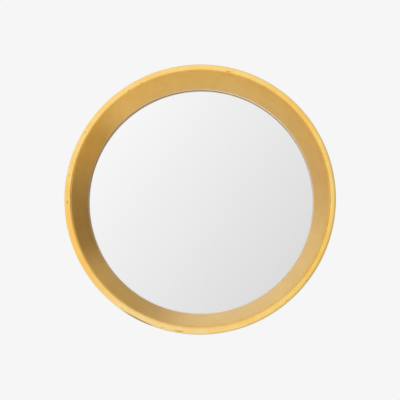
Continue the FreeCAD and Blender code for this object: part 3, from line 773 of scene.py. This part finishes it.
def chipped_points(bm):
    """The points round every chip. Each has a nearness, 1 in the middle and 0 at the outline, and its share
    of painted shade.
    """
    search_tree = plant_search_tree(bm)
    bm.verts.ensure_lookup_table()
    for degrees, share, half_length, half_width, painted_shade_share in CHIPS:
        middle, along, across = chip_directions(degrees, share)
        length = half_length * MM
        width = half_width * MM
        for place, index, distance in search_tree.find_range(middle, length + CHIP_MARGIN):
            offset = place - middle
            if abs(offset.dot(across)) < width + CHIP_MARGIN:
                from_middle = math.hypot(offset.dot(along) / length, offset.dot(across) / width)
                yield bm.verts[index], 1 - from_middle, painted_shade_share


print(len(CHIPS), "chips listed")

# %% Chip the leaf off the rim
CHIP_CUTS = 4
CHIP_DEPTH = 0.12 * MM
# Leaf comes off from a little outside the outline, and the chip has its full depth a third of the way in
WORN_OUTSIDE = 0.6
CHIP_STEEPNESS = 3
# The rim is paler at the bottom, a little to the left: a share of pale gesso colour is blended in there
RIM_PALER_SHARE = 0.16
PALE_SIDE = Vector((-0.39, -0.92))
PALE_FALL = 7


def limit(value):
    """A value kept between 0 and 1."""
    return min(1.0, max(0.0, value))


# A dictionary keeps the edges once each and in order, so that every run gives the same mesh
edges = {}
for vert, nearness, painted_shade_share in chipped_points(bm):
    edges.update(dict.fromkeys(vert.link_edges))
bmesh.ops.subdivide_edges(bm, edges=list(edges), cuts=CHIP_CUTS, use_grid_fill=True)
wear = bm.verts.layers.float.new("wear")
painted_shade = bm.verts.layers.float.new("painted_shade")
gesso_and_highlight = bm.verts.layers.float.new("gesso_and_highlight")
for vert in bm.verts:
    vert[gesso_and_highlight] = RIM_PALER_SHARE * towards_side(vert, PALE_SIDE) ** PALE_FALL
bm.normal_update()
sunk = {}
for vert, nearness, painted_shade_share in chipped_points(bm):
    vert[wear] = max(vert[wear], limit(WORN_OUTSIDE + nearness))
    vert[painted_shade] = max(vert[painted_shade], painted_shade_share)
    sunk[vert] = max(sunk.get(vert, 0.0), limit(nearness * CHIP_STEEPNESS))
for vert, share in sunk.items():
    vert.co -= vert.normal * CHIP_DEPTH * share
coat_the_wood(bm)
rim_coat = link_piece("rim_gilding", bm, burnished_leaf)
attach(rim_coat, "frame")
print("rim coat:", len(rim_coat.data.polygons), "faces with", len(CHIPS), "chips")

# %% [markdown]
# ## The pane and its silvering
#
# A mirror is two things: clear glass, and a layer of silver on its back. Seen at a slant, the thickness of
# the glass shows as a thin double line along the lip, so both are modelled. The silver lies a hair inside
# the back of the glass, as it does on a real pane, where no air comes between them. The edge of the pane has
# its arris taken off with a bevel. A perfect mirror looks drawn, so both finishes have a trace of haze, and
# the silver a ripple that is almost too small to see.

# %% Helpers for round sheets
DISC_STEPS = 360
DISC_BEVEL_STEPS = 2


def thicken_discs(bm, depth):
    """Extrudes upright discs along Y, and returns the edges round both their sides."""
    grown = bmesh.ops.extrude_face_region(bm, geom=bm.faces[:], use_keep_orig=True)
    moved = [item for item in grown["geom"] if isinstance(item, bmesh.types.BMVert)]
    bmesh.ops.translate(bm, verts=moved, vec=(0, depth, 0))
    bmesh.ops.recalc_face_normals(bm, faces=bm.faces)
    return [edge for edge in bm.edges if abs(edge.verts[0].co.y - edge.verts[1].co.y) < SAME]


def turned_disc(front, back, radius, bevel):
    """A round sheet with its two edges bevelled."""
    bm = bmesh.new()
    bmesh.ops.create_circle(bm, cap_ends=True, radius=radius, segments=DISC_STEPS)
    bmesh.ops.rotate(bm, verts=bm.verts, matrix=Matrix.Rotation(math.pi / 2, 3, "X"))
    bmesh.ops.translate(bm, verts=bm.verts, vec=(0, back, 0))
    rims = thicken_discs(bm, front - back)
    bmesh.ops.bevel(
        bm, geom=rims, offset=bevel, segments=DISC_BEVEL_STEPS, profile=0.5, affect="EDGES", material=-1,
    )
    # The two flat sides have many corners and stay flat, and only the edge between them is smooth
    for face in bm.faces:
        face.smooth = len(face.verts) == 4
    return bm


print("helpers for round sheets ready")

# %% Make the pane and the silvering
GLASS_CLEARANCE = 0.05 * MM
PANE_ARRIS = 0.6 * MM
SILVER_SINK = 0.05 * MM
SILVER_THICKNESS = 0.25 * MM
GLASS_IOR = 1.52
GLASS_HAZE = 0.006
HAZE_ENDS = (0.45, 0.75)


def clear_glass_finish():
    """Glass with a trace of green and of haze."""
    material, tree, shader, place = new_material("clear_glass")
    smear = noise_at(tree, place, scale=9.0, detail=2.0)
    tint = blend_colours(tree, smear, rgb(0.985, 0.995, 0.99), rgb(0.995, 1.0, 0.997))
    tree.links.new(tint, shader.inputs["Base Color"])
    hazy = spread(tree, smear, *HAZE_ENDS, 0.0, GLASS_HAZE)
    tree.links.new(hazy, shader.inputs["Roughness"])
    shader.inputs["IOR"].default_value = GLASS_IOR
    shader.inputs["Transmission Weight"].default_value = 1.0
    return material


def silver_finish():
    """Silver with the same haze and a faint ripple."""
    material, tree, shader, place = new_material("silvering")
    cloud = noise_at(tree, place, scale=6.0, detail=3.0)
    tone = blend_colours(tree, cloud, rgb(0.950, 0.950, 0.948), rgb(0.966, 0.966, 0.964))
    tree.links.new(tone, shader.inputs["Base Color"])
    hazy = spread(tree, cloud, *HAZE_ENDS, 0.0, GLASS_HAZE)
    tree.links.new(hazy, shader.inputs["Roughness"])
    add_relief(tree, shader, cloud, strength=0.05, depth=0.05 * MM)
    shader.inputs["Metallic"].default_value = 1.0
    return material


pane_disc = turned_disc(GLASS_FRONT_Y + GLASS_CLEARANCE, GLASS_BACK_Y, GLASS_RADIUS, PANE_ARRIS)
pane = link_piece("mirror_pane", pane_disc, clear_glass_finish())
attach(pane, "frame")
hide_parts("mirror_glass")

silver_front = GLASS_BACK_Y - SILVER_SINK
silver_back = silver_front + SILVER_THICKNESS
silver_disc = turned_disc(silver_front, silver_back, GLASS_RADIUS - 2 * PANE_ARRIS, SILVER_SINK)
silver = link_piece("silvering", silver_disc, silver_finish())
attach(silver, "frame")
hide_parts("silver_coating")
print(f"pane {(GLASS_BACK_Y - GLASS_FRONT_Y) / MM:.1f} mm thick, with its silvering")

# %% [markdown]
# ## The wood of the ring
#
# The back of the ring is bare wood, and each segment is a board with its own grain along its length. One
# pattern for all would run straight through the joints, so every segment gets its own copy of the finish,
# turned to its place on the ring. The rebate is blackened, as framers do, so that no pale wood shows in the
# edge of the mirror.

# %% Finish the wood
SEGMENT_STEP = math.tau / len(SEGMENTS)
WOOD_DARK = rgb(0.40, 0.255, 0.135)
WOOD_LIGHT = rgb(0.56, 0.385, 0.22)
WOOD_PORE = rgb(0.24, 0.14, 0.07)
WOOD_ROUGHNESS = (0.62, 0.78)
PORE_ENDS = (0.62, 0.75)
PORE_DARKNESS = 0.5
REBATE_BLACK = rgb(0.012, 0.011, 0.010)
REBATE_MARGIN = 0.1 * MM
# The grain is fine across a board and long along it, and it starts at another place in each board
GRAIN_STRETCH = (190, 190, 9)
GRAIN_SHIFT = Vector((7.3, 3.1, 0))


def dress(name, material):
    """Gives a CAD node a finish."""
    nodes[name].material_slots[0].material = material


def in_rebate(tree, place):
    """Is 1 on the inside of the ring behind the gilded edge of the lip, and 0 elsewhere."""
    radius = distance_from_axis(tree, place, (1, 0, 1))
    depth = add_node(tree, "SeparateXYZ", {0: place}).outputs["Y"]
    inside = calculate(tree, "LESS_THAN", radius, REBATE_RADIUS + REBATE_MARGIN)
    behind = calculate(tree, "GREATER_THAN", depth, LIP_FRONT_Y + LIP_GILDING)
    return calculate(tree, "MULTIPLY", inside, behind)


def wood_finish(index):
    """Bare wood for one board of the ring, counted from 0."""
    material, tree, shader, place = new_material(f"bare_wood_{index + 1}")
    turned = add_node(
        tree, "VectorRotate", {"Vector": place, "Axis": (0, 1, 0), "Angle": index * SEGMENT_STEP},
        rotation_type="AXIS_ANGLE",
    ).outputs[0]
    stretched = add_node(
        tree, "VectorMath", {0: turned, 1: GRAIN_STRETCH, 2: GRAIN_SHIFT * index}, operation="MULTIPLY_ADD",
    ).outputs[0]
    grain = noise_at(tree, stretched, scale=1.0, detail=4.0)
    pores = noise_at(tree, stretched, scale=7.0, detail=2.0)
    wood = blend_colours(tree, spread(tree, grain, *NOISE_ENDS), WOOD_DARK, WOOD_LIGHT)
    wood = blend_colours(tree, spread(tree, pores, *PORE_ENDS, 0.0, PORE_DARKNESS), wood, WOOD_PORE)
    wood = blend_colours(tree, in_rebate(tree, place), wood, REBATE_BLACK)
    tree.links.new(wood, shader.inputs["Base Color"])
    tree.links.new(spread(tree, grain, *NOISE_ENDS, *WOOD_ROUGHNESS), shader.inputs["Roughness"])
    add_relief(tree, shader, pores, strength=0.25, depth=0.2 * MM)
    return material


for index in range(len(SEGMENTS)):
    dress(f"ring_segment_{index + 1}", wood_finish(index))
print("wood finished on", len(SEGMENTS), "segments")

# %% [markdown]
# ## The board and the paper behind the glass
#
# The back is closed by a hardboard disc. Hardboard is pressed from brown fibres on a wire screen, and the
# rough side, which faces out here, keeps the print of that screen: a fine square net. Two sine waves at right
# angles, multiplied, make the net, and noises at three scales make the fibres, the flecks and the slow change
# of tone. The paper in front of the board is hidden in the finished mirror, and has no net.

# %% Finish the board and the paper
SCREEN_PITCH = 1.5 * MM
FLECK_SHARE = 0.8
CLOUD_SHARE = 0.3
MOTTLE_ENDS = (0.78, 1.32)


def fibre_finish(name, dark, light, roughness, screen_depth):
    """A sheet of pressed fibres, with the print of a wire screen where it has one."""
    material, tree, shader, place = new_material(name)
    fibres = noise_at(tree, place, scale=900.0, detail=4.0, Distortion=1.5)
    flecks = noise_at(tree, place, scale=170.0, detail=4.0, Distortion=2.5)
    cloud = noise_at(tree, place, scale=9.0, detail=3.0)
    mottle = calculate(tree, "MULTIPLY_ADD", cloud, CLOUD_SHARE, fibres)
    mottle = calculate(tree, "MULTIPLY_ADD", flecks, FLECK_SHARE, mottle)
    tone = blend_colours(tree, spread(tree, mottle, *MOTTLE_ENDS), dark, light)
    tree.links.new(tone, shader.inputs["Base Color"])
    tree.links.new(spread(tree, fibres, *NOISE_ENDS, roughness, 1.0), shader.inputs["Roughness"])
    shader.inputs["Specular IOR Level"].default_value = 0.3
    axes = add_node(tree, "SeparateXYZ", {0: place})
    waves = []
    for axis in ("X", "Z"):
        turns_there = calculate(tree, "MULTIPLY", axes.outputs[axis], math.tau / SCREEN_PITCH)
        waves.append(calculate(tree, "SINE", turns_there))
    net = calculate(tree, "MULTIPLY", *waves)
    height = calculate(tree, "MULTIPLY_ADD", net, screen_depth, fibres)
    add_relief(tree, shader, height, strength=0.5, depth=0.15 * MM)
    return material


hardboard = fibre_finish(
    "hardboard", dark=rgb(0.135, 0.072, 0.036), light=rgb(0.26, 0.150, 0.082),
    roughness=0.62, screen_depth=0.8,
)
packing_paper = fibre_finish(
    "packing_paper", dark=rgb(0.42, 0.31, 0.19), light=rgb(0.55, 0.43, 0.28),
    roughness=0.8, screen_depth=0.0,
)
dress("backing_board", hardboard)
dress("packing_sheet", packing_paper)
print("board and paper finished")

# %% [markdown]
# ## The metal fittings
#
# The turn buttons and their screws are brass that has dulled in the air, and the hanger is steel with a
# thin coat of zinc. Both are smooth stamped or drawn metal, so their character lies in the roughness: fine
# scratches from the tumbling drum, and a slow cloud of tarnish or of zinc crystals. Both come from noises at
# two scales, in one finish with other numbers.

# %% Finish the metal
BUTTONS = [name for name in nodes if name.startswith("turn_button_")]
HANGER = ["hanger_plate", "hanger_ring", "hanger_screws"]
# The scratches are thin across X and longer along Y and Z
SCRATCH_STRETCH = (5000, 900, 700)
TARNISH_ENDS = (0.38, 0.68)
TARNISH_SHARE = 0.6
SCRATCH_SHARE = 0.5
DULL_ENDS = (0.2, 0.8)


def metal_finish(name, clean, dull, smooth, rough, cloud_scale):
    """Plain metal between a clean and a dull tone, with fine scratches."""
    material, tree, shader, place = new_material(name)
    cloud = noise_at(tree, place, scale=cloud_scale, detail=5.0, Roughness=0.6)
    stretched = add_node(tree, "VectorMath", {0: place, 1: SCRATCH_STRETCH}, operation="MULTIPLY").outputs[0]
    scratches = noise_at(tree, stretched, scale=1.0, detail=2.0)
    tarnish = spread(tree, cloud, *TARNISH_ENDS)
    tree.links.new(blend_colours(tree, tarnish, clean, dull), shader.inputs["Base Color"])
    dulled = calculate(tree, "MULTIPLY", tarnish, TARNISH_SHARE)
    dulled = calculate(tree, "MULTIPLY_ADD", scratches, SCRATCH_SHARE, dulled)
    tree.links.new(spread(tree, dulled, *DULL_ENDS, smooth, rough), shader.inputs["Roughness"])
    add_relief(tree, shader, scratches, strength=0.15, depth=0.05 * MM)
    shader.inputs["Metallic"].default_value = 1.0
    return material


brass = metal_finish(
    "dulled_brass", clean=rgb(0.80, 0.58, 0.26), dull=rgb(0.55, 0.37, 0.15),
    smooth=0.22, rough=0.48, cloud_scale=220.0,
)
zinc = metal_finish(
    "zinc_plate", clean=rgb(0.74, 0.75, 0.76), dull=rgb(0.58, 0.60, 0.63),
    smooth=0.24, rough=0.46, cloud_scale=320.0,
)
for name in BUTTONS:
    dress(name, brass)
for name in HANGER:
    dress(name, zinc)
print("brass on", len(BUTTONS), "nodes, zinc on", len(HANGER))

# %% [markdown]
# ## The felt pads
#
# Four pads of wool felt keep the frame off the wall. Felt has no sharp edge: where it is punched from the
# sheet, the fibres spread. A plain disc would look like rubber, so each pad is a circle that is extruded and
# bevelled all round. Its two flat sides are inset ring by ring and poked, which gives them points of their
# own, and a fixed noise moves every point along its normal. The finish adds short fibres, two tones of wool
# and a little sheen.

# %% Finish the felt
FELT_DARK = rgb(0.055, 0.046, 0.038)
FELT_LIGHT = rgb(0.135, 0.118, 0.100)
FELT_ROUGHNESS = (0.85, 1.0)
FLOCK_SHARE = 0.5
FELT_ENDS = (0.5, 1.0)


def felt_finish():
    """Dark wool felt."""
    material, tree, shader, place = new_material("wool_felt")
    fibres = noise_at(tree, place, scale=2600.0, detail=3.0, Distortion=3.0)
    flock = noise_at(tree, place, scale=420.0, detail=3.0)
    wool = calculate(tree, "MULTIPLY_ADD", flock, FLOCK_SHARE, fibres)
    tone = blend_colours(tree, spread(tree, wool, *FELT_ENDS), FELT_DARK, FELT_LIGHT)
    tree.links.new(tone, shader.inputs["Base Color"])
    tree.links.new(spread(tree, fibres, *NOISE_ENDS, *FELT_ROUGHNESS), shader.inputs["Roughness"])
    shader.inputs["Sheen Weight"].default_value = 0.35
    add_relief(tree, shader, wool, strength=0.7, depth=0.25 * MM)
    return material


wool_felt = felt_finish()
print("made", wool_felt.name)

# %% Make the felt pads
PAD_SIDES = 48
PAD_ROUND = 0.9 * MM
PAD_ROUND_STEPS = 3
PAD_RINGS = 3
PAD_FUZZ = 0.18 * MM
FUZZ_PER_MM = 1.7

pad_points = [vertex.co for vertex in nodes["wall_pads"].data.vertices]
pad_corner = [point for point in pad_points if point.x > 0 and point.z > 0]
pad_low = Vector([min(point[axis] for point in pad_corner) for axis in range(3)])
pad_high = Vector([max(point[axis] for point in pad_corner) for axis in range(3)])
pad_middle = (pad_low + pad_high) / 2
pad_radius = (pad_high.x - pad_low.x) / 2
upright = Matrix.Rotation(math.pi / 2, 4, "X")

bm = bmesh.new()
for across in (-pad_middle.x, pad_middle.x):
    for above in (-pad_middle.z, pad_middle.z):
        made = bmesh.ops.create_circle(bm, cap_ends=True, radius=pad_radius - PAD_FUZZ, segments=PAD_SIDES)
        seat = Matrix.Translation((across, pad_low.y + PAD_FUZZ, above))
        bmesh.ops.transform(bm, matrix=seat @ upright, verts=made["verts"])
rims = thicken_discs(bm, pad_high.y - pad_low.y - 2 * PAD_FUZZ)
bmesh.ops.bevel(
    bm, geom=rims, offset=PAD_ROUND, segments=PAD_ROUND_STEPS, profile=0.5, affect="EDGES", material=-1,
)
# The flat sides are the only faces with more than four corners
caps = [face for face in bm.faces if len(face.verts) > 4]
for ring_step in range(PAD_RINGS):
    bmesh.ops.inset_region(bm, faces=caps, thickness=pad_radius / (PAD_RINGS + 2), use_even_offset=True)
bmesh.ops.poke(bm, faces=caps)
bm.normal_update()
for vert in bm.verts:
    fuzz = noise.noise(vert.co / MM * FUZZ_PER_MM)
    vert.co += vert.normal * PAD_FUZZ * fuzz
for face in bm.faces:
    face.smooth = True
felt_pads = link_piece("felt_pads", bm, wool_felt)
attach(felt_pads, "frame")
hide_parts("wall_pads")
print("felt pads:", len(felt_pads.data.polygons), "faces")
